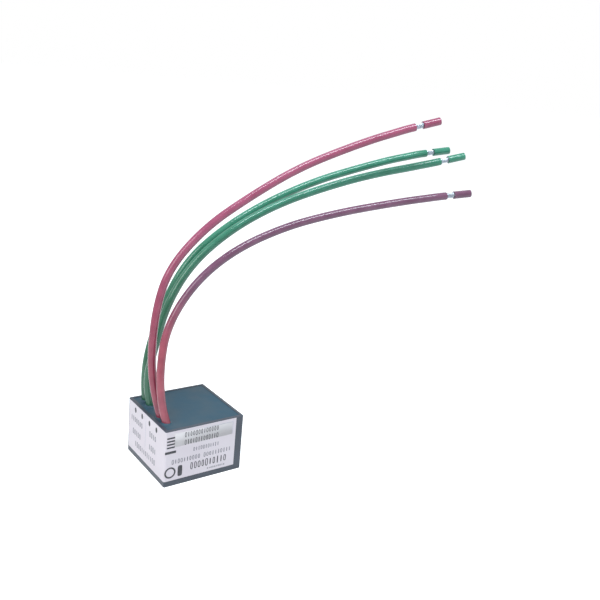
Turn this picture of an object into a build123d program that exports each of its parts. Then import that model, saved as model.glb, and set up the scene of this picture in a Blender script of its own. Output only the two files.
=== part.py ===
from build123d import *
import math
import os

# Line-termination module: a small square plastic cup, filled flush with potting
# compound, that holds a circuit board with two capacitors and two resistors.
# Four stiff hook-up wires stand out of the potting near the left wall and arch
# to the right.  Each wire's end is semi-stripped: the insulation is cut, and the
# cut-off sleeve is left on the strands to be pulled off when the wire is used.
#
# Frame: millimetres, origin at the middle of the underside, +X to the right
# along the labelled front wall, +Y to the back, +Z up.

# --- cup ---
module_width = 26.0
module_depth = 26.0
module_height = 18.0
wall = 1.0
floor_thickness = 1.2
corner_radius = 0.5
cavity_corner_radius = 0.4
underside_radius = 0.25
rim_chamfer = 0.1

# --- potting ---
potting_recess = 0.1

# --- label, one sheet round the front left corner ---
label_thickness = 0.1
label_lower_margin = 1.95
label_upper_margin = 0.2
label_right_margin = 2.65
label_back_margin = 0.9

# --- circuit board ---
board_thickness = 1.6
board_standoff = 1.8
board_side_gap = 0.3
board_corner_radius = 0.8
ledge_size = 1.6
copper_thickness = 0.07
track_width = 1.0
pad_ring = 0.45
hole_clearance = 0.1
joint_height = 0.8
joint_neck = 0.12
joint_spread = 0.85
tail_length = 1.1

# --- radial electrolytic capacitors, standing on the board ---
capacitor_diameter = 8.0
capacitor_cover = 1.8
capacitor_x = 1.2
capacitor_spacing = 10.8
capacitor_pin_pitch = 3.5
capacitor_pin_diameter = 0.6
sleeve_thickness = 0.12
can_wall = 0.3
can_edge_radius = 0.6
groove_height = 2.2
groove_depth = 0.35
bung_height = 2.0
winding_gap = 0.15
winding_headroom = 0.6
sleeve_turnover = 0.9
vent_depth = 0.12
vent_width = 0.25

# --- axial resistors, lying on the board ---
resistor_length = 6.3
resistor_diameter = 2.3
resistor_waist = 0.25
resistor_cap_length = 1.4
resistor_wire_diameter = 0.55
resistor_pin_pitch = 10.16
resistor_bend_radius = 1.0
resistor_x = 8.6
resistor_spacing = 11.2
resistor_lift = 0.2

# --- leads; the tip sleeve has been drawn off the strands by the gap that it leaves ---
lead_diameter = 2.4
conductor_diameter = 1.6
tip_sleeve_length = 5.75
tip_gap = 2.7
tip_sleeve_bore_clearance = 0.05

cavity_width = module_width - 2 * wall
cavity_depth = module_depth - 2 * wall
board_bottom = floor_thickness + board_standoff
board_top = board_bottom + board_thickness
board_width = cavity_width - 2 * board_side_gap
board_depth = cavity_depth - 2 * board_side_gap
potting_top = module_height - potting_recess
copper_bottom = board_bottom - copper_thickness
tail_bottom = board_bottom - tail_length
capacitor_height = potting_top - capacitor_cover - board_top

# Each lead: where its board hole is, then the points that its route turns at.
lead_routes = {
    "green_lead_1": [
        (-9, 8.5, board_top), (-9, 8.5, 13.5), (-9.5, 10, 24.5), (-8, 11, 34),
        (-3, 12.5, 47), (3.5, 11, 61), (14.5, 9, 71.1), (28, 6, 79.7),
        (43, 2, 86.8), (56, -3, 91.7), (71.5, -8.5, 96.7), (86.2, -12.3, 99.1),
    ],
    "green_lead_2": [
        (-9, 4, board_top), (-9, 4, 13.5), (-10.5, 6.5, 25.5), (-8, 7, 35),
        (-4.3, 7.5, 48.7), (3.2, 7, 61.3), (14.5, 4.5, 71.7), (28.5, 1.5, 79.7),
        (43, -3.5, 85.8), (57, -9, 90.7), (73, -14, 94.3), (86.8, -18.8, 98.1),
    ],
    "red_lead_1": [
        (-9, -4.5, board_top), (-9, -4.5, 13.5), (-11.5, -3, 23), (-12.5, -0.5, 34),
        (-11, 1, 49.5), (-7, 1.5, 62), (3, -0.5, 74), (15.5, -3, 83),
        (29, -7, 92), (43, -11, 98.5), (57.5, -16, 104.5), (71.8, -20.3, 108.8),
    ],
    "red_lead_2": [
        (-9, -9, board_top), (-9, -9, 13.5), (-11.5, -6.5, 22.5), (-11.5, -4.5, 34),
        (-8.5, -2, 46), (-0.5, -2.5, 58.5), (11, -4.5, 68), (26, -8, 75),
        (40.5, -13, 79.5), (55, -17, 82.5), (69.5, -22.5, 85.5), (83.2, -26.8, 87.4),
    ],
}

os.makedirs("parts", exist_ok=True)


def save(name, shape):
    """Write one node; a list of solids becomes one group."""
    if isinstance(shape, list):
        shape = Compound(children=shape)
    export_step(shape, f"parts/{name}.step")


def block(x_low, x_high, y_low, y_high, z_low, z_high):
    """A box between two corners."""
    size = (x_high - x_low, y_high - y_low, z_high - z_low)
    middle = ((x_low + x_high) / 2, (y_low + y_high) / 2, (z_low + z_high) / 2)
    return Pos(*middle) * Box(*size)


def upright(x, y, z_low, z_high, radius):
    """A cylinder standing on z_low."""
    return Pos(x, y, (z_low + z_high) / 2) * Cylinder(radius, z_high - z_low)


def slab(width, depth, radius, z_low, z_high):
    """A rounded rectangle centred on the origin, raised between two heights."""
    outline = Pos(0, 0, z_low) * RectangleRounded(width, depth, radius)
    return extrude(outline, z_high - z_low)


def spun(points, x, y, z):
    """A closed (radius, height) outline turned about an upright axis at x, y, z."""
    outline = make_face(Polyline(*[(r, 0, h) for r, h in points], close=True))
    return Pos(x, y, z) * revolve(outline, Axis.Z)


# --- housing cup: moulded box, open at the top, with four corner ledges ---
def make_cup():
    outside = slab(module_width, module_depth, corner_radius, 0, module_height)
    outside = fillet(outside.faces().sort_by(Axis.Z)[0].edges(), underside_radius)
    outside = chamfer(outside.faces().sort_by(Axis.Z)[-1].edges(), rim_chamfer)
    return outside - make_cavity(module_height)


def make_cavity(z_high):
    """The space inside the cup up to z_high, less the ledges that carry the board."""
    cavity = slab(cavity_width, cavity_depth, cavity_corner_radius, floor_thickness, z_high)
    for side_x in (-1, 1):
        for side_y in (-1, 1):
            ledge_x = side_x * (cavity_width - ledge_size) / 2
            ledge_y = side_y * (cavity_depth - ledge_size) / 2
            ledge_z = floor_thickness + board_standoff / 2
            cavity -= Pos(ledge_x, ledge_y, ledge_z) * Box(ledge_size, ledge_size, board_standoff)
    return cavity


# --- label: thin sheet on the left and front walls, bent round their corner ---
def make_label():
    grown = 2 * label_thickness
    z_high = module_height - label_upper_margin
    outer_radius = corner_radius + label_thickness
    sheet = slab(module_width + grown, module_depth + grown, outer_radius, label_lower_margin, z_high)
    sheet -= slab(module_width, module_depth, corner_radius, label_lower_margin, z_high)
    right_end = module_width / 2 - label_right_margin
    back_end = module_depth / 2 - label_back_margin
    reach = module_width + module_depth
    sheet -= block(right_end, reach, -reach, reach, 0, module_height)
    sheet -= block(-reach, reach, back_end, reach, 0, module_height)
    return sheet


# --- leads ---
def lead_radii(points):
    """An arc radius for each corner of a route, as large as its two runs allow."""
    vectors = [Vector(*point) for point in points]
    radii = []
    for before, corner, after in zip(vectors, vectors[1:], vectors[2:]):
        run_in = corner - before
        run_out = after - corner
        half_turn = math.radians(run_in.get_angle(run_out)) / 2
        shorter = min(run_in.length, run_out.length)
        radii.append(0.45 * shorter / math.tan(half_turn))
    return radii


def swept(path, length, outer_radius, inner_radius=0.0):
    """A tube along the first stretch of path, of the given length."""
    stretch = path.trim(0, length / path.length)
    section = Circle(outer_radius)
    if inner_radius > 0:
        section -= Circle(inner_radius)
    placed = Plane(origin=stretch @ 0, z_dir=stretch % 0) * section
    return sweep(placed, path=stretch)


def make_lead(points):
    """Insulation, conductor and tip sleeve of one lead, and the insulation unbored."""
    radii = lead_radii(points)
    path = FilletPolyline(*points, radius=radii)
    outer = lead_diameter / 2
    core = conductor_diameter / 2
    sleeve_start = path.length - tip_sleeve_length
    insulation_length = sleeve_start - tip_gap
    conductor_length = path.length - tip_gap
    insulation = swept(path, insulation_length, outer, core)
    envelope = swept(path, insulation_length, outer)
    hole_x, hole_y, _ = points[0]
    core_path = FilletPolyline((hole_x, hole_y, tail_bottom), *points[1:], radius=radii)
    conductor = swept(core_path, conductor_length + board_top - tail_bottom, core)
    direction = path % 1
    sleeve_plane = Plane(origin=path @ 1 - direction * tip_sleeve_length, z_dir=direction)
    ring = Circle(outer) - Circle(core + tip_sleeve_bore_clearance)
    sleeve = extrude(sleeve_plane * ring, tip_sleeve_length)
    ideal = math.pi * (outer**2 - core**2) * insulation_length
    print(
        f"insulated {insulation_length:.1f} mm, whole route {path.length:.1f} mm,",
        f"tube volume over section times length {insulation.volume / ideal:.4f},",
        "radii", [round(radius) for radius in radii],
        "tip direction", [round(value, 4) for value in direction],
    )
    return insulation, conductor, sleeve, envelope


leads = {name: make_lead(points) for name, points in lead_routes.items()}
lead_holes = [points[0][:2] for points in lead_routes.values()]


# --- capacitors: each stands on the board, its two pins along Y ---
def make_capacitor(x, y):
    """Can, winding, bung, sleeve and pins of one capacitor, and its outer shape."""
    top = board_top + capacitor_height
    outer = capacitor_diameter / 2
    can_outer = outer - sleeve_thickness
    can_inner = can_outer - can_wall
    bung_top = board_top + bung_height
    pin_radius = capacitor_pin_diameter / 2

    groove_bottom = board_top + groove_height
    groove_middle = groove_bottom + groove_depth
    groove_top = groove_middle + groove_depth
    can = spun(
        [
            (can_inner, board_top), (can_outer, board_top), (can_outer, groove_bottom),
            (can_outer - groove_depth, groove_middle), (can_outer, groove_top), (can_outer, top),
            (0, top), (0, top - can_wall), (can_inner, top - can_wall), (can_inner, groove_top),
            (can_inner - groove_depth, groove_middle), (can_inner, groove_bottom),
        ],
        x, y, 0,
    )
    can = fillet(can.faces().sort_by(Axis.Z)[-1].edges(), can_edge_radius)
    for turn in (0, 90):
        slot = Box(can_outer, vent_width, 2 * vent_depth)
        can -= Pos(x, y, top) * Rot(0, 0, turn) * slot

    pins = []
    bung = upright(x, y, board_top, bung_top, can_inner)
    for side in (-1, 1):
        pin_y = y + side * capacitor_pin_pitch / 2
        pins.append(upright(x, pin_y, tail_bottom, bung_top, pin_radius))
        bung -= upright(x, pin_y, board_top, bung_top, pin_radius)

    winding_top = top - can_wall - winding_headroom
    winding_radius = can_inner - groove_depth - winding_gap
    winding = upright(x, y, bung_top, winding_top, winding_radius)

    sleeve = upright(x, y, board_top, top + sleeve_thickness, outer)
    sleeve = fillet(sleeve.faces().sort_by(Axis.Z)[-1].edges(), can_edge_radius + sleeve_thickness)
    can_shape = upright(x, y, board_top, top, can_outer)
    can_shape = fillet(can_shape.faces().sort_by(Axis.Z)[-1].edges(), can_edge_radius)
    sleeve -= can_shape
    sleeve -= upright(x, y, board_top, top + 1, can_outer - sleeve_turnover)
    outer_shape = can_shape + sleeve
    return can, winding, bung, sleeve, pins, outer_shape


# --- resistors: each lies on the board along Y, its wires bent down through it ---
def make_resistor(x, y):
    """Body and two bent wires of one resistor."""
    waist = resistor_diameter / 2 - resistor_waist
    end = resistor_diameter / 2
    wire = resistor_wire_diameter / 2
    axis_z = board_top + resistor_lift + end
    body = upright(0, 0, -resistor_length / 2, resistor_length / 2, waist)
    for side in (-1, 1):
        cap_z = side * (resistor_length - resistor_cap_length) / 2
        cap = Pos(0, 0, cap_z) * Cylinder(end, resistor_cap_length)
        body += fillet(cap.edges().filter_by(GeomType.CIRCLE), resistor_waist)
    body = Pos(x, y, axis_z) * Rot(90, 0, 0) * body

    wires = []
    for side in (-1, 1):
        start = (x, y + side * resistor_length / 2, axis_z)
        bend = (x, y + side * resistor_pin_pitch / 2, axis_z)
        foot = (x, y + side * resistor_pin_pitch / 2, tail_bottom)
        route = FilletPolyline(start, bend, foot, radius=resistor_bend_radius)
        placed = Plane(origin=route @ 0, z_dir=route % 0) * Circle(wire)
        wires.append(sweep(placed, path=route))
    return body, wires


capacitor_places = [(capacitor_x, side * capacitor_spacing / 2) for side in (1, -1)]
resistor_places = [(resistor_x, side * resistor_spacing / 2) for side in (1, -1)]
capacitors = [make_capacitor(x, y) for x, y in capacitor_places]
resistors = [make_resistor(x, y) for x, y in resistor_places]


# --- board, its copper and the solder joints under it ---
def pin_places():
    """Every hole in the board: x, y and the radius of the wire in it."""
    places = [(x, y, conductor_diameter / 2) for x, y in lead_holes]
    for x, y in capacitor_places:
        for side in (-1, 1):
            places.append((x, y + side * capacitor_pin_pitch / 2, capacitor_pin_diameter / 2))
    for x, y in resistor_places:
        for side in (-1, 1):
            places.append((x, y + side * resistor_pin_pitch / 2, resistor_wire_diameter / 2))
    return places


pins = pin_places()


def make_board():
    board = slab(board_width, board_depth, board_corner_radius, board_bottom, board_top)
    for x, y, wire in pins:
        board -= upright(x, y, board_bottom, board_top, wire + hole_clearance)
    return board


def make_track(corners):
    """A copper strip under the board through the given corners."""
    half = track_width / 2
    strip = None
    for (x_1, y_1), (x_2, y_2) in zip(corners, corners[1:]):
        x_low, x_high = sorted((x_1, x_2))
        y_low, y_high = sorted((y_1, y_2))
        leg = block(x_low - half, x_high + half, y_low - half, y_high + half, copper_bottom, board_bottom)
        strip = leg if strip is None else strip + leg
    return strip


def make_copper():
    """The five nets: two resistors, each to its own lead, and two capacitors back to back."""
    green_1, green_2, red_1, red_2 = lead_holes
    cap_x = capacitor_x
    cap_far = (capacitor_spacing + capacitor_pin_pitch) / 2
    cap_near = (capacitor_spacing - capacitor_pin_pitch) / 2
    res_far = (resistor_spacing + resistor_pin_pitch) / 2
    res_near = (resistor_spacing - resistor_pin_pitch) / 2
    right_lane = (cap_x + resistor_x) / 2
    left_lane = (cap_x + green_2[0]) / 2
    to_first = make_track([green_1, (green_1[0], res_far), (resistor_x, res_far)])
    to_second = make_track([red_2, (red_2[0], -res_far), (resistor_x, -res_far)])
    shared = make_track([(resistor_x, -res_near), (resistor_x, res_near)])
    shared += make_track([(resistor_x, res_near), (right_lane, res_near), (right_lane, cap_far), (cap_x, cap_far)])
    between = make_track([(cap_x, cap_near), (cap_x, -cap_near)])
    back = make_track([(cap_x, -cap_far), (left_lane, -cap_far), (left_lane, green_2[1]), green_2])
    back += make_track([red_1, (left_lane, red_1[1])])
    nets = [to_first, to_second, shared, between, back]
    for x, y, wire in pins:
        rim = wire + hole_clearance
        hole = upright(x, y, copper_bottom, board_bottom, rim)
        pad = upright(x, y, copper_bottom, board_bottom, rim + pad_ring)
        owner = min(range(len(nets)), key=lambda number: nets[number].distance_to(Vertex(x, y, board_bottom)))
        nets[owner] += pad
        nets[owner] -= hole
    return nets


def make_solder_joints():
    """A concave-sided cone round each tail, filling its hole up through the board."""
    joints = []
    for x, y, wire in pins:
        rim = wire + hole_clearance
        foot = rim + pad_ring * joint_spread
        neck = wire + joint_neck
        low = copper_bottom - joint_height
        waist = (wire + (foot - wire) * 0.4, copper_bottom - joint_height * 0.4)
        outline = [
            (wire, low), (neck, low), waist, (foot, copper_bottom),
            (rim, copper_bottom), (rim, board_top), (wire, board_top),
        ]
        joints.append(spun(outline, x, y, 0))
    return joints


board = make_board()
copper = make_copper()
solder_joints = make_solder_joints()


# --- potting: fills the cup round everything up to just below the rim ---
def make_potting():
    potting = make_cavity(potting_top)
    potting -= slab(board_width, board_depth, board_corner_radius, board_bottom, board_top)
    for solid in copper + solder_joints:
        potting -= solid
    for x, y, wire in pins:
        potting -= upright(x, y, tail_bottom, board_bottom, wire)
    for capacitor in capacitors:
        potting -= capacitor[-1]
    for body, wires in resistors:
        potting -= body
        for wire in wires:
            potting -= wire
    for lead in leads.values():
        potting -= lead[-1]
    return potting


save("housing_cup", make_cup())
save("potting_fill", make_potting())
save("label", make_label())
save("circuit_board", board)
save("copper_tracks", copper)
save("solder_joints", solder_joints)
for number, (can, winding, bung, sleeve, pin_pair, _) in enumerate(capacitors, 1):
    save(f"capacitor_{number}_can", can)
    save(f"capacitor_{number}_winding", winding)
    save(f"capacitor_{number}_bung", bung)
    save(f"capacitor_{number}_sleeve", sleeve)
    save(f"capacitor_{number}_pins", pin_pair)
for number, (body, wires) in enumerate(resistors, 1):
    save(f"resistor_{number}_body", body)
    save(f"resistor_{number}_wires", wires)
for name, (insulation, conductor, sleeve, _) in leads.items():
    save(f"{name}_insulation", insulation)
    save(f"{name}_conductor", conductor)
    save(f"{name}_tip_sleeve", sleeve)
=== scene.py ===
import math

import bpy
import numpy as np
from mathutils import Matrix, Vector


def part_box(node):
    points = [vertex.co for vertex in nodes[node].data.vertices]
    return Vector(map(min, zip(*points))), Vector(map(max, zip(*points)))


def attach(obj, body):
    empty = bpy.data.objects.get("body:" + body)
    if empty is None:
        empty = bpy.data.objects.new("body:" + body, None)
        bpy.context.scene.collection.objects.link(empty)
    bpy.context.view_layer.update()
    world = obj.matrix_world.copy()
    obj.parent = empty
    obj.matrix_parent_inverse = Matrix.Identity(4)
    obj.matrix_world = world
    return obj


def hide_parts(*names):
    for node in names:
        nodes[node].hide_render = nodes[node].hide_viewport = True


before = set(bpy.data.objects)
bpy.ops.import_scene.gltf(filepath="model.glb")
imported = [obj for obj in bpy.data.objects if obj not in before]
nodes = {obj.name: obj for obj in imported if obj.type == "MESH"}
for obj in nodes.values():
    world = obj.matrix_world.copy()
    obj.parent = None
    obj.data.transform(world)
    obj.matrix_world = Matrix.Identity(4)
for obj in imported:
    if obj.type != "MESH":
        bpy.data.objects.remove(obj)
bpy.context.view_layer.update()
scene = bpy.context.scene

# ---------------------------------------------------------------------------
# The view: a 36 mm sensor behind a normal lens, a little above the module and
# off its front left corner, tipped a few degrees to one side.
# ---------------------------------------------------------------------------
camera_data = bpy.data.cameras.new("camera")
camera_data.lens = 44.36
camera_data.sensor_width = 36.0
camera_data.clip_start = 0.01
camera_data.clip_end = 10.0
camera = bpy.data.objects.new("camera", camera_data)
camera.location = (-0.10046, -0.18437, 0.11815)
camera.rotation_euler = [math.radians(turn) for turn in (73.132, -5.282, -35.711)]
scene.collection.objects.link(camera)
scene.camera = camera


# ---------------------------------------------------------------------------
# Leads: four lengths of stiff hook-up wire, 2.4 mm over thin PVC, two green and
# two red.  Each is soldered into the board, cast into the potting and set in a
# long arch; its end is semi-stripped, with the cut-off sleeve left on the strands.
# ---------------------------------------------------------------------------
MM = 0.001
lead_diameter = 2.4 * MM
core_diameter = 1.6 * MM
tip_sleeve_length = 5.75 * MM
tip_gap = 2.7 * MM

# Control points of each route, in millimetres, from the board to the tip.
board_top = 4.6
lead_routes = {
    "green_lead_1": [
        (-9, 8.5, board_top), (-9, 8.5, 13.5), (-9.5, 10, 24.5), (-8, 11, 34),
        (-3, 12.5, 47), (3.5, 11, 61), (14.5, 9, 71.1), (28, 6, 79.7),
        (43, 2, 86.8), (56, -3, 91.7), (71.5, -8.5, 96.7), (86.2, -12.3, 99.1),
    ],
    "green_lead_2": [
        (-9, 4, board_top), (-9, 4, 13.5), (-10.5, 6.5, 25.5), (-8, 7, 35),
        (-4.3, 7.5, 48.7), (3.2, 7, 61.3), (14.5, 4.5, 71.7), (28.5, 1.5, 79.7),
        (43, -3.5, 85.8), (57, -9, 90.7), (73, -14, 94.3), (86.8, -18.8, 98.1),
    ],
    "red_lead_1": [
        (-9, -4.5, board_top), (-9, -4.5, 13.5), (-11.5, -3, 23), (-12.5, -0.5, 34),
        (-11, 1, 49.5), (-7, 1.5, 62), (3, -0.5, 74), (15.5, -3, 83),
        (29, -7, 92), (43, -11, 98.5), (57.5, -16, 104.5), (71.8, -20.3, 108.8),
    ],
    "red_lead_2": [
        (-9, -9, board_top), (-9, -9, 13.5), (-11.5, -6.5, 22.5), (-11.5, -4.5, 34),
        (-8.5, -2, 46), (-0.5, -2.5, 58.5), (11, -4.5, 68), (26, -8, 75),
        (40.5, -13, 79.5), (55, -17, 82.5), (69.5, -22.5, 85.5), (83.2, -26.8, 87.4),
    ],
}


def route_line(name, points):
    """The points that a route's smooth curve passes through, in metres.

    The curve is a NURBS spline of order 3 that is clamped at both ends, with the
    route's points as its control points; the line is read from its unbevelled mesh.
    """
    curve = bpy.data.curves.new(name, "CURVE")
    curve.dimensions = "3D"
    curve.resolution_u = 24
    spline = curve.splines.new("NURBS")
    spline.points.add(len(points) - 1)
    for control, point in zip(spline.points, points):
        control.co = (*[value * MM for value in point], 1.0)
    spline.order_u = 3
    spline.use_endpoint_u = True
    holder = bpy.data.objects.new(name, curve)
    scene.collection.objects.link(holder)
    bpy.context.view_layer.update()
    mesh = bpy.data.meshes.new_from_object(holder)
    line = np.zeros(len(mesh.vertices) * 3)
    mesh.vertices.foreach_get("co", line)
    bpy.data.objects.remove(holder)
    bpy.data.meshes.remove(mesh)
    return line.reshape(-1, 3)


def even_line(line, start, end, count):
    """`count` points evenly spaced along a line between two distances from its start."""
    steps = np.linalg.norm(np.diff(line, axis=0), axis=1)
    along = np.concatenate([[0.0], np.cumsum(steps)])
    wanted = np.linspace(start, end, count)
    return np.stack([np.interp(wanted, along, line[:, axis]) for axis in range(3)], axis=1)


def line_length(line):
    return float(np.linalg.norm(np.diff(line, axis=0), axis=1).sum())


def straight_tip(line, stretch, fade):
    """The line with its last stretch laid on the straight line of its end direction.

    Each point's offset from that straight line is scaled by a smooth step of its
    distance from the end, from 0 within `stretch` to 1 beyond `stretch` plus `fade`.
    """
    direction = line[-1] - line[-2]
    direction /= np.linalg.norm(direction)
    back = line - line[-1]
    along = back @ direction
    offset = back - along[:, None] * direction
    share = np.clip((-along - stretch) / fade, 0.0, 1.0)
    kept = share * share * (3 - 2 * share)
    return line - offset * (1 - kept)[:, None]


def carried_frames(line):
    """Along, side and up directions at each point, turned as little as possible.

    Along is the central difference of the points. Side starts level and is carried
    forward by removing, at each point, its part that lies along the line.
    """
    along = np.gradient(line, axis=0)
    along /= np.linalg.norm(along, axis=1)[:, None]
    side = np.zeros_like(along)
    side[0] = np.cross(along[0], (0.0, 1.0, 0.0))
    side[0] /= np.linalg.norm(side[0])
    for number in range(1, len(line)):
        moved = side[number - 1] - along[number] * (side[number - 1] @ along[number])
        side[number] = moved / np.linalg.norm(moved)
    return along, side, np.cross(along, side)


def lathe_along(name, line, stations, around):
    """A closed skin carried along a line.

    `stations` are (distance share, radius, push) rows from one end round to the other:
    the share picks the point on the line, radius is the ring's size there and push
    moves the ring along the line. Rings are joined by quads; `around` sets their count.
    """
    along, side, up = carried_frames(line)
    share = np.array([row[0] for row in stations])
    radius = np.array([row[1] for row in stations])
    push = np.array([row[2] for row in stations])
    place = share * (len(line) - 1)
    low = np.clip(np.floor(place).astype(int), 0, len(line) - 2)
    part = (place - low)[:, None]
    centre = line[low] * (1 - part) + line[low + 1] * part
    ahead = along[low] * (1 - part) + along[low + 1] * part
    across = side[low] * (1 - part) + side[low + 1] * part
    lift = up[low] * (1 - part) + up[low + 1] * part
    turn = np.linspace(0, 2 * math.pi, around, endpoint=False)
    ring = (
        across[:, None, :] * np.cos(turn)[None, :, None]
        + lift[:, None, :] * np.sin(turn)[None, :, None]
    ) * radius[:, None, None]
    points = centre[:, None, :] + ahead[:, None, :] * push[:, None, None] + ring
    return grid_mesh(name, points, close_rows=False)


def grid_mesh(name, points, close_rows):
    """A mesh from a grid of points that closes round its columns, with quads between.

    Rows are joined end to end when `close_rows` is set; otherwise the first and last
    rows are capped with one face each.
    """
    rows, columns = points.shape[:2]
    index = np.arange(rows * columns).reshape(rows, columns)
    upper = np.roll(index, -1, axis=0) if close_rows else index[1:]
    lower = index if close_rows else index[:-1]
    faces = np.stack(
        [lower, np.roll(lower, -1, axis=1), np.roll(upper, -1, axis=1), upper], axis=-1
    ).reshape(-1, 4)
    faces = [tuple(face) for face in faces.tolist()]
    if not close_rows:
        faces.append(tuple(reversed(index[0].tolist())))
        faces.append(tuple(index[-1].tolist()))
    mesh = bpy.data.meshes.new(name)
    mesh.from_pydata(points.reshape(-1, 3).tolist(), [], faces)
    mesh.validate()
    mesh.update()
    return mesh


def join_grids(name, grids, close_rows):
    """One mesh from several grids of points, each closed or capped as in `grid_mesh`."""
    vertices, faces = [], []
    for points in grids:
        part = grid_mesh("part", points, close_rows)
        base = len(vertices)
        vertices += [tuple(vertex.co) for vertex in part.vertices]
        faces += [tuple(base + number for number in face.vertices) for face in part.polygons]
        bpy.data.meshes.remove(part)
    mesh = bpy.data.meshes.new(name)
    mesh.from_pydata(vertices, [], faces)
    mesh.update()
    return mesh


def dress(node, material):
    """Gives a CAD node its finish; its shape stays the node's own."""
    nodes[node].data.materials.clear()
    nodes[node].data.materials.append(material)


def add_piece(name, mesh, material, body):
    """A finished piece at the origin, smooth, riding on its body."""
    mesh.materials.append(material)
    mesh.polygons.foreach_set("use_smooth", [True] * len(mesh.polygons))
    piece = bpy.data.objects.new(name, mesh)
    scene.collection.objects.link(piece)
    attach(piece, body)
    return piece


def new_material(name):
    """A node material with only its shader and output, with its tree and its shader."""
    material = bpy.data.materials.new(name)
    material.use_nodes = True
    tree = material.node_tree
    shader = tree.nodes["Principled BSDF"]
    return material, tree, shader


def make_fine_noise_group():
    """Two noises at a set scale, put out as a shade mask and a height."""
    group = bpy.data.node_groups.new("moulded_grain", "ShaderNodeTree")
    group.interface.new_socket("Coarse Scale", in_out="INPUT", socket_type="NodeSocketFloat")
    group.interface.new_socket("Fine Scale", in_out="INPUT", socket_type="NodeSocketFloat")
    group.interface.new_socket("Shade", in_out="OUTPUT", socket_type="NodeSocketFloat")
    group.interface.new_socket("Height", in_out="OUTPUT", socket_type="NodeSocketFloat")
    nodes_in = group.nodes.new("NodeGroupInput")
    nodes_out = group.nodes.new("NodeGroupOutput")
    place = group.nodes.new("ShaderNodeTexCoord")
    coarse = group.nodes.new("ShaderNodeTexNoise")
    fine = group.nodes.new("ShaderNodeTexNoise")
    coarse.inputs["Detail"].default_value = 3.0
    fine.inputs["Detail"].default_value = 2.0
    links = group.links
    links.new(place.outputs["Object"], coarse.inputs["Vector"])
    links.new(place.outputs["Object"], fine.inputs["Vector"])
    links.new(nodes_in.outputs["Coarse Scale"], coarse.inputs["Scale"])
    links.new(nodes_in.outputs["Fine Scale"], fine.inputs["Scale"])
    links.new(coarse.outputs["Fac"], nodes_out.inputs["Shade"])
    links.new(fine.outputs["Fac"], nodes_out.inputs["Height"])
    return group


grain_group = make_fine_noise_group()


def grained(name, dark, light, roughness, coarse_scale, fine_scale, bump, metallic=0.0):
    """A moulded or drawn finish: two shades by the coarse noise, a bump by the fine one."""
    material, tree, shader = new_material(name)
    grain = tree.nodes.new("ShaderNodeGroup")
    grain.node_tree = grain_group
    grain.inputs["Coarse Scale"].default_value = coarse_scale
    grain.inputs["Fine Scale"].default_value = fine_scale
    ramp = tree.nodes.new("ShaderNodeValToRGB")
    ramp.color_ramp.elements[0].position = 0.35
    ramp.color_ramp.elements[1].position = 0.65
    ramp.color_ramp.elements[0].color = (*dark, 1.0)
    ramp.color_ramp.elements[1].color = (*light, 1.0)
    rough = tree.nodes.new("ShaderNodeMapRange")
    rough.inputs["To Min"].default_value = roughness[0]
    rough.inputs["To Max"].default_value = roughness[1]
    relief = tree.nodes.new("ShaderNodeBump")
    relief.inputs["Strength"].default_value = bump
    relief.inputs["Distance"].default_value = 0.0001
    tree.links.new(grain.outputs["Shade"], ramp.inputs["Fac"])
    tree.links.new(ramp.outputs["Color"], shader.inputs["Base Color"])
    tree.links.new(grain.outputs["Shade"], rough.inputs["Value"])
    tree.links.new(rough.outputs["Result"], shader.inputs["Roughness"])
    tree.links.new(grain.outputs["Height"], relief.inputs["Height"])
    tree.links.new(relief.outputs["Normal"], shader.inputs["Normal"])
    shader.inputs["Metallic"].default_value = metallic
    return material


green_pvc = grained(
    "green_pvc", (0.022, 0.185, 0.112), (0.036, 0.228, 0.147), (0.12, 0.18), 260.0, 2600.0, 0.05
)
red_pvc = grained(
    "red_pvc", (0.258, 0.048, 0.104), (0.318, 0.068, 0.134), (0.12, 0.18), 260.0, 2600.0, 0.05
)
# red_lead_2 wears a copy of the same red PVC with painted shade: its arch is coloured darker and more
# purple for the shade it lies in.
painted_shade_red_pvc = grained(
    "painted_shade_red_pvc", (0.130, 0.047, 0.094), (0.168, 0.067, 0.123), (0.12, 0.18), 260.0, 2600.0, 0.05
)


def paint_foot_shade(material, tint, low, high):
    """The base colour times a tint below `low`, fading with height to none above `high`.

    The fade is a smooth step of the height. It is painted shade: a lead's foot and its arch differ in
    colour only because light falls differently on them.
    """
    tree = material.node_tree
    shader = tree.nodes["Principled BSDF"]
    plain = shader.inputs["Base Color"].links[0].from_socket
    place = tree.nodes.new("ShaderNodeTexCoord")
    split = tree.nodes.new("ShaderNodeSeparateXYZ")
    fade = tree.nodes.new("ShaderNodeMapRange")
    fade.interpolation_type = "SMOOTHSTEP"
    fade.inputs["From Min"].default_value = low
    fade.inputs["From Max"].default_value = high
    fade.inputs["To Min"].default_value = 1.0
    fade.inputs["To Max"].default_value = 0.0
    mix = tree.nodes.new("ShaderNodeMix")
    mix.data_type = "RGBA"
    mix.blend_type = "MULTIPLY"
    factor, shade, tinted = mix.inputs[0], mix.inputs[6], mix.inputs[7]
    tinted.default_value = (*tint, 1.0)
    tree.links.new(place.outputs["Object"], split.inputs["Vector"])
    tree.links.new(split.outputs["Z"], fade.inputs["Value"])
    tree.links.new(fade.outputs["Result"], factor)
    tree.links.new(plain, shade)
    tree.links.new(mix.outputs[2], shader.inputs["Base Color"])


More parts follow.
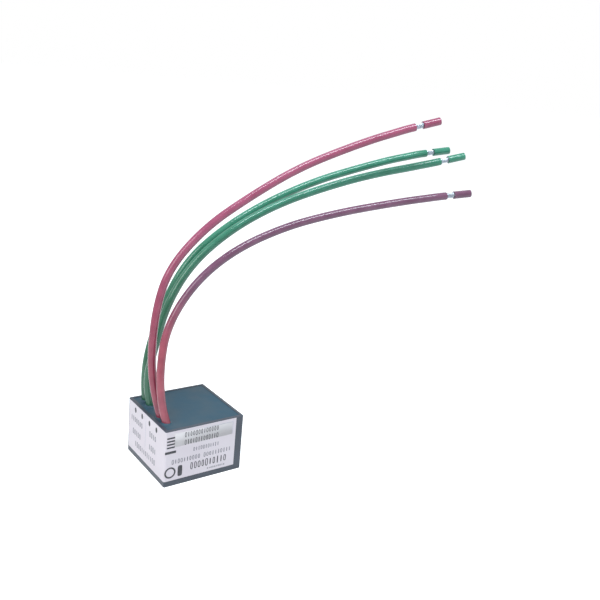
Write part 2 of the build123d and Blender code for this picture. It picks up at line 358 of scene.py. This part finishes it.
# Painted shade: the greens and red_lead_1 are coloured darker and warmer near the foot than in the
# arch; red_lead_2, whose arch is painted darker, is lifted back to plain red near its foot.
paint_foot_shade(green_pvc, (1.00, 0.60, 0.52), 0.036, 0.090)
paint_foot_shade(red_pvc, (0.93, 0.71, 0.61), 0.030, 0.075)
paint_foot_shade(painted_shade_red_pvc, (2.05, 1.04, 0.80), 0.038, 0.060)
tinned_strand = grained(
    "tinned_strand", (0.29, 0.33, 0.38), (0.48, 0.53, 0.59), (0.22, 0.36), 900.0, 6000.0, 0.05,
    metallic=1.0,
)
lead_pvc = {
    "green_lead_1": green_pvc, "green_lead_2": green_pvc,
    "red_lead_1": red_pvc, "red_lead_2": painted_shade_red_pvc,
}

cut_edge = 0.12 * MM
tip_straight = 9.0 * MM
tip_fade = 7.0 * MM
hidden_strand = 3.0 * MM
lay_length = 14.0 * MM
outer_radius = lead_diameter / 2
core_radius = core_diameter / 2

# The core is one strand with 6 round it and 12 round those: the rows give a layer's
# distance from the middle, in strand radii, and its count.
strand_layers = [(0.0, 1), (2.0, 6), (4.0, 12)]
strand_radius = core_radius / 5.0 * 0.985
around_strand = np.linspace(0, 2 * math.pi, 10, endpoint=False)

for lead, points in lead_routes.items():
    line = straight_tip(route_line(lead, points), tip_straight, tip_fade)
    whole = line_length(line)
    insulated = whole - tip_sleeve_length - tip_gap

    # insulation: a tube whose cut end is square with a soft edge
    skin_line = even_line(line, 0.0, insulated, 260)
    edge_share = cut_edge / insulated
    stations = [(0.0, core_radius, 0.0), (0.0, outer_radius, 0.0)]
    stations += [
        (share, outer_radius, 0.0) for share in np.linspace(0.004, 1 - 2 * edge_share, 240)
    ]
    stations += [
        (
            1 - edge_share * (1 - math.sin(angle)),
            outer_radius - cut_edge * (1 - math.cos(angle)),
            0.0,
        )
        for angle in np.linspace(0.2, math.pi / 2, 5)
    ]
    stations += [(1.0, core_radius, 0.0), (1 - 8 * edge_share, core_radius, 0.0)]
    stations += [
        (share, core_radius, 0.0) for share in np.linspace(1 - 12 * edge_share, 0.004, 120)
    ]
    mesh = lathe_along(f"{lead}_skin", skin_line, stations, 32)
    skin = add_piece(f"{lead}_skin", mesh, lead_pvc[lead], "root")
    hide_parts(f"{lead}_insulation")

    # conductor: twisted tinned strands, seen in the gap and inside the tip sleeve
    strand_start = insulated - hidden_strand
    strand_end = whole - tip_gap
    strand_line = even_line(line, strand_start, strand_end, 90)
    along, side, up = carried_frames(strand_line)
    travelled = np.linspace(0, strand_end - strand_start, len(strand_line))
    strand_grids = []
    for distance, count in strand_layers:
        for number in range(count):
            turn = 2 * math.pi * (number / count + travelled / lay_length)
            centre = strand_line + (
                side * np.cos(turn)[:, None] + up * np.sin(turn)[:, None]
            ) * distance * strand_radius
            tangent = np.gradient(centre, axis=0)
            tangent /= np.linalg.norm(tangent, axis=1)[:, None]
            across = side - tangent * (side * tangent).sum(axis=1)[:, None]
            across /= np.linalg.norm(across, axis=1)[:, None]
            lift = np.cross(tangent, across)
            ring = across[:, None, :] * np.cos(around_strand)[None, :, None]
            ring = ring + lift[:, None, :] * np.sin(around_strand)[None, :, None]
            strand_grids.append(centre[:, None, :] + ring * strand_radius)
    mesh = join_grids(f"{lead}_strands", strand_grids, close_rows=False)
    strands = add_piece(f"{lead}_strands", mesh, tinned_strand, "root")
    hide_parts(f"{lead}_conductor")

    # tip sleeve: the cut-off end of the insulation, drawn out along the strands
    dress(f"{lead}_tip_sleeve", lead_pvc[lead])


# ---------------------------------------------------------------------------
# Cup: injection-moulded dark slate plastic with a satin texture, open at the top.
# The CAD node carries the shape; only its finish is given here.
# ---------------------------------------------------------------------------
cup_plastic = grained(
    "cup_plastic", (0.032, 0.041, 0.057), (0.044, 0.055, 0.076), (0.40, 0.52), 120.0, 5200.0, 0.22
)
dress("housing_cup", cup_plastic)


# ---------------------------------------------------------------------------
# Potting: compound poured to just under the rim and cured, bluer than the cup and
# a little duller.
# ---------------------------------------------------------------------------
potting_compound = grained(
    "potting_compound", (0.022, 0.068, 0.104), (0.052, 0.082, 0.104), (0.48, 0.58), 90.0, 900.0, 0.12
)
potting_shader = potting_compound.node_tree.nodes["Principled BSDF"]
potting_shader.inputs["Specular IOR Level"].default_value = 0.22
dress("potting_fill", potting_compound)

# Where it wets each lead it has crept up in a small concave collar.
potting_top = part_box("potting_fill")[1].z
collar_rise = 0.55 * MM
collar_fade = 0.28 * MM
collar_reach = 1.1 * MM
collar_bite = 0.02 * MM
collar_foot = 0.1 * MM
collars = []
for lead, points in lead_routes.items():
    line = route_line(lead, points)
    out = np.linspace(0, collar_reach, 12)
    rise = collar_rise * (np.exp(-out / collar_fade) - math.exp(-collar_reach / collar_fade))
    reach = outer_radius - collar_bite + out
    reach = np.concatenate([[reach[0]], reach, [reach[-1]]])
    rise = np.concatenate([[-collar_foot], rise, [-collar_foot]])
    centre = np.stack(
        [np.interp(potting_top + rise, line[:, 2], line[:, axis]) for axis in (0, 1)], axis=1
    )
    turn = np.linspace(0, 2 * math.pi, 48, endpoint=False)
    x = centre[:, 0:1] + reach[:, None] * np.cos(turn)[None, :]
    y = centre[:, 1:2] + reach[:, None] * np.sin(turn)[None, :]
    z = np.repeat((potting_top + rise)[:, None], len(turn), axis=1)
    collars.append(np.stack([x, y, z], axis=-1)[::-1])

collar_mesh = join_grids("potting_collars", collars, close_rows=True)
add_piece("potting_collars", collar_mesh, potting_compound, "root")


# ---------------------------------------------------------------------------
# Label: one sheet of white film stuck round the front left corner, printed with
# a panel, a dot by each lead, a divider between the pairs and rows of marks.
# ---------------------------------------------------------------------------
label_film = grained(
    "label_film", (0.628, 0.568, 0.608), (0.676, 0.616, 0.656), (0.42, 0.52), 60.0, 3000.0, 0.03
)
dress("label", label_film)

# The marks are greeked: bars and loops of ink about a hundredth of a millimetre
# thick, in rows with gaps like words, that spell nothing.
label_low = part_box("label")[0]
ink_thickness = 0.012 * MM
ink_sunk = 0.4
ink_random = np.random.default_rng(5)


def ink_block(face, middle, height, width, tall, rounding=0.12, proud_by=ink_thickness):
    """A thin closed block of ink on a wall: a rounded rectangle raised off the film.

    The outline is a superellipse: half the width times the cosine of the turn, its size
    raised to the power `rounding` and its sign kept, and the height likewise with the
    sine. A small power fills the rectangle but for soft corners; 1 gives an ellipse.
    """
    turn = np.linspace(0, 2 * math.pi, 24, endpoint=False)
    across = np.sign(np.cos(turn)) * np.abs(np.cos(turn)) ** rounding * width / 2
    rise = np.sign(np.sin(turn)) * np.abs(np.sin(turn)) ** rounding * tall / 2
    rows = []
    for proud in (-ink_sunk * ink_thickness, proud_by):
        if face == "front":
            wall = np.full_like(turn, label_low.y - proud)
            rows.append(np.stack([middle + across, wall, height + rise], axis=1))
        else:
            wall = np.full_like(turn, label_low.x - proud)
            rows.append(np.stack([wall, middle - across, height + rise], axis=1))
    return np.stack(rows)


def ink_loop(face, middle, height, width, tall, stroke, rounding=0.7):
    """A flat closed loop of ink on a wall, from four outlines round its section.

    They are the outer and inner edge, each low and proud. Each is the superellipse of
    `ink_block`, the inner ones a stroke smaller all round.
    """
    outlines = []
    for inset, proud in ((0.0, -ink_sunk), (stroke, -ink_sunk), (stroke, 1.0), (0.0, 1.0)):
        block = ink_block(
            face, middle, height, width - 2 * inset, tall - 2 * inset, rounding, proud * ink_thickness
        )
        outlines.append(block[1])
    return np.stack(outlines)


# The share of marks that are bars; a bar's width and a loop's stroke, in pitches.
bar_share = 0.4
bar_width = 0.30
loop_stroke = 0.20


def greeked_row(face, start, end, height, tall, letter, words):
    """Bars and loops along a wall from start to end, with a gap at each word's end.

    Returns the bars and the loops. Which of the two stands at a place is drawn from
    the seeded generator, and so are a loop's width and each mark's height.
    """
    span = abs(end - start)
    toward = 1.0 if end > start else -1.0
    count = max(int(span / letter), 2)
    breaks = {int(round(count * (number + 1) / words)) for number in range(words - 1)}
    bars, loops = [], []
    for number in range(count):
        if number in breaks:
            continue
        draw, wide, rise = ink_random.random(3)
        middle = (start + toward * (number + 0.5) * letter) * MM
        height_here = tall * (0.80 + 0.20 * rise) * MM
        if draw < bar_share:
            width = letter * bar_width * MM
            bars.append(ink_block(face, middle, height * MM, width, height_here, 0.45))
        else:
            width = letter * (0.62 + 0.14 * wide) * MM
            stroke = letter * loop_stroke * MM
            loops.append(ink_loop(face, middle, height * MM, width, height_here, stroke))
    return bars, loops


black_bars = [
    ink_block("left", y * MM, 16.0 * MM, 1.15 * MM, 1.75 * MM, 1.0)
    for y in (7.47, 2.77, -2.36, -7.09)
]
black_bars.append(ink_block("front", -11.3 * MM, 11.2 * MM, 3.5 * MM, 0.8 * MM))
for height in (12.8, 13.8, 14.8, 15.8):
    black_bars.append(ink_block("front", -11.3 * MM, height * MM, 2.5 * MM, 0.5 * MM))
black_bars.append(ink_block("front", -8.0 * MM, 4.6 * MM, 1.5 * MM, 3.5 * MM, 0.45))
black_loops = [ink_loop("front", -11.2 * MM, 4.6 * MM, 3.6 * MM, 3.6 * MM, 0.5 * MM, 1.0)]

# Each row: face, start, end, height, letter height, letter pitch (all mm) and words.
black_rows = [
    ("front", -7.0, 4.5, 15.9, 1.75, 0.88, 1),
    ("front", -7.0, 4.5, 13.5, 1.75, 0.88, 1),
    ("front", -4.8, 7.9, 5.2, 2.5, 1.25, 1),
]
grey_rows = [
    ("front", -4.0, 5.0, 10.6, 1.4, 0.80, 1),
    ("front", -10.9, 9.4, 7.9, 1.55, 0.95, 2),
    ("front", 1.0, 7.7, 3.0, 0.6, 0.62, 1),
    ("left", 10.6, 1.4, 12.8, 2.0, 1.20, 1),
    ("left", -2.4, -7.6, 12.8, 2.0, 1.20, 1),
    ("left", 9.3, 2.6, 8.6, 2.0, 1.20, 1),
    ("left", -2.4, -7.7, 8.6, 2.0, 1.20, 1),
    ("left", 7.4, -7.3, 5.0, 2.0, 1.20, 1),
]
grey_bars, grey_loops = [], []
for row in black_rows:
    bars, loops = greeked_row(*row)
    black_bars += bars
    black_loops += loops
for row in grey_rows:
    bars, loops = greeked_row(*row)
    grey_bars += bars
    grey_loops += loops
panel_edge = 0.14 * MM
divider_marks = [
    ink_block("left", 0.1 * MM, 11.4 * MM, 0.16 * MM, 8.8 * MM),
    ink_block("front", 9.3 * MM, 14.8 * MM, panel_edge, 4.0 * MM),
    ink_block("front", 4.3 * MM, 16.8 * MM, 10.0 * MM, panel_edge),
]
panel_marks = [
    ink_block("front", -0.6 * MM, 14.8 * MM, 19.4 * MM, 4.3 * MM, 0.05, 0.4 * ink_thickness)
]
panel_ink = grained(
    "panel_ink", (0.560, 0.530, 0.540), (0.605, 0.575, 0.582), (0.45, 0.55), 150.0, 3000.0, 0.03
)
black_ink = grained(
    "black_ink", (0.030, 0.030, 0.036), (0.045, 0.045, 0.052), (0.5, 0.6), 900.0, 6000.0, 0.05
)
grey_ink = grained(
    "grey_ink", (0.145, 0.145, 0.165), (0.19, 0.19, 0.215), (0.5, 0.6), 900.0, 6000.0, 0.05
)
pale_ink = grained(
    "pale_ink", (0.42, 0.42, 0.48), (0.47, 0.47, 0.53), (0.5, 0.6), 900.0, 6000.0, 0.05
)
for piece_name, marks, ink, looped in (
    ("label_panel", panel_marks, panel_ink, False),
    ("label_bars_black", black_bars, black_ink, False),
    ("label_loops_black", black_loops, black_ink, True),
    ("label_bars_grey", grey_bars, grey_ink, False),
    ("label_loops_grey", grey_loops, grey_ink, True),
    ("label_divider", divider_marks, pale_ink, False),
):
    add_piece(piece_name, join_grids(piece_name, marks, looped), ink, "root")


# ---------------------------------------------------------------------------
# Inside the potting: glass-epoxy board, copper, solder, two radial capacitors and
# two axial resistors.  They are cast in and only show when the part is cut open.
# ---------------------------------------------------------------------------
board_laminate = grained(
    "board_laminate", (0.05, 0.17, 0.07), (0.07, 0.21, 0.09), (0.35, 0.45), 300.0, 2500.0, 0.1
)
copper = grained(
    "copper", (0.62, 0.30, 0.18), (0.78, 0.42, 0.26), (0.25, 0.4), 300.0, 2500.0, 0.05, metallic=1.0
)
solder = grained(
    "solder", (0.60, 0.61, 0.63), (0.74, 0.75, 0.77), (0.2, 0.35), 500.0, 3000.0, 0.05, metallic=1.0
)
aluminium = grained(
    "aluminium", (0.68, 0.69, 0.71), (0.80, 0.81, 0.83), (0.25, 0.38), 200.0, 2400.0, 0.05, metallic=1.0
)
foil_paper = grained(
    "foil_paper", (0.52, 0.45, 0.30), (0.66, 0.58, 0.40), (0.6, 0.75), 250.0, 2600.0, 0.2
)
bung_rubber = grained(
    "bung_rubber", (0.018, 0.018, 0.018), (0.030, 0.030, 0.030), (0.55, 0.7), 250.0, 2600.0, 0.2
)
sleeve_film = grained(
    "sleeve_film", (0.020, 0.024, 0.060), (0.030, 0.036, 0.085), (0.22, 0.3), 150.0, 1800.0, 0.05
)
resistor_coating = grained(
    "resistor_coating", (0.16, 0.34, 0.46), (0.22, 0.42, 0.55), (0.3, 0.42), 400.0, 2600.0, 0.08
)
dress("circuit_board", board_laminate)
dress("copper_tracks", copper)
dress("solder_joints", solder)
for number in (1, 2):
    dress(f"capacitor_{number}_can", aluminium)
    dress(f"capacitor_{number}_winding", foil_paper)
    dress(f"capacitor_{number}_bung", bung_rubber)
    dress(f"capacitor_{number}_sleeve", sleeve_film)
    dress(f"capacitor_{number}_pins", solder)
    dress(f"resistor_{number}_body", resistor_coating)
    dress(f"resistor_{number}_wires", solder)


# ---------------------------------------------------------------------------
# Setting: a plain pale floor that shows white to the camera but keeps the
# module's shadow, and three soft lamps with a plain sky.
# ---------------------------------------------------------------------------
def white_to_camera(tree, plain, white, plain_socket, output):
    """Shows the white shader to camera, glossy and clear rays, the plain one to the rest."""
    path = tree.nodes.new("ShaderNodeLightPath")
    seen = tree.nodes.new("ShaderNodeMath")
    seen.operation = "MAXIMUM"
    also = tree.nodes.new("ShaderNodeMath")
    also.operation = "MAXIMUM"
    mix = tree.nodes.new("ShaderNodeMixShader")
    tree.links.new(path.outputs["Is Camera Ray"], seen.inputs[0])
    tree.links.new(path.outputs["Is Glossy Ray"], seen.inputs[1])
    tree.links.new(seen.outputs[0], also.inputs[0])
    tree.links.new(path.outputs["Is Transmission Ray"], also.inputs[1])
    tree.links.new(also.outputs[0], mix.inputs["Fac"])
    tree.links.new(plain.outputs[plain_socket], mix.inputs[1])
    tree.links.new(white.outputs[0], mix.inputs[2])
    tree.links.new(mix.outputs[0], output)


floor_half = 6.0
floor_mesh = bpy.data.meshes.new("floor")
floor_mesh.from_pydata(
    [
        (-floor_half, -floor_half, 0), (floor_half, -floor_half, 0),
        (floor_half, floor_half, 0), (-floor_half, floor_half, 0),
    ],
    [], [(0, 1, 2, 3)],
)
floor = bpy.data.objects.new("floor", floor_mesh)
scene.collection.objects.link(floor)
floor_paint, floor_tree, floor_shader = new_material("floor_paint")
floor_shader.inputs["Base Color"].default_value = (0.80, 0.80, 0.80, 1.0)
floor_shader.inputs["Roughness"].default_value = 0.9
floor_glow = floor_tree.nodes.new("ShaderNodeEmission")
floor_glow.inputs["Color"].default_value = (1.0, 1.0, 1.0, 1.0)
floor_glow.inputs["Strength"].default_value = 0.68
floor_sum = floor_tree.nodes.new("ShaderNodeAddShader")
floor_tree.links.new(floor_shader.outputs["BSDF"], floor_sum.inputs[0])
floor_tree.links.new(floor_glow.outputs["Emission"], floor_sum.inputs[1])
floor_output = floor_tree.nodes["Material Output"]
white_to_camera(floor_tree, floor_shader, floor_sum, "BSDF", floor_output.inputs["Surface"])
floor_mesh.materials.append(floor_paint)

world = bpy.data.worlds.new("world")
scene.world = world
world.use_nodes = True
world_tree = world.node_tree
sky = world_tree.nodes["Background"]
sky.inputs["Color"].default_value = (0.88, 0.93, 1.0, 1.0)
sky.inputs["Strength"].default_value = 0.40
white_sky = world_tree.nodes.new("ShaderNodeBackground")
white_sky.inputs["Color"].default_value = (1.0, 1.0, 1.0, 1.0)
white_sky.inputs["Strength"].default_value = 1.0
world_output = world_tree.nodes["World Output"]
white_to_camera(world_tree, sky, white_sky, "Background", world_output.inputs["Surface"])


def add_lamp(name, place, aim, width, depth, power, colour=(1.0, 1.0, 1.0)):
    """A rectangular area lamp at a place, turned to face a point, its width level."""
    lamp = bpy.data.lights.new(name, "AREA")
    lamp.shape = "RECTANGLE"
    lamp.size = width
    lamp.size_y = depth
    lamp.energy = power
    lamp.color = colour
    holder = bpy.data.objects.new(name, lamp)
    x, y, z = (a - b for a, b in zip(place, aim))
    level = math.hypot(x, y)
    holder.location = place
    holder.rotation_euler = (math.atan2(level, z), 0.0, math.atan2(x, -y))
    scene.collection.objects.link(holder)


lamp_aim = (0.03, -0.005, 0.05)
add_lamp("key_lamp", (-0.50, -0.12, 0.40), lamp_aim, 0.30, 0.30, 1.45)
add_lamp("strip_lamp", (-0.042, -0.185, 0.617), lamp_aim, 0.45, 0.10, 3.8, (0.84, 0.94, 1.0))
add_lamp("back_lamp", (0.02, 0.22, 0.62), lamp_aim, 0.34, 0.34, 0.5, (0.72, 0.90, 1.0))

scene.view_settings.view_transform = "Standard"
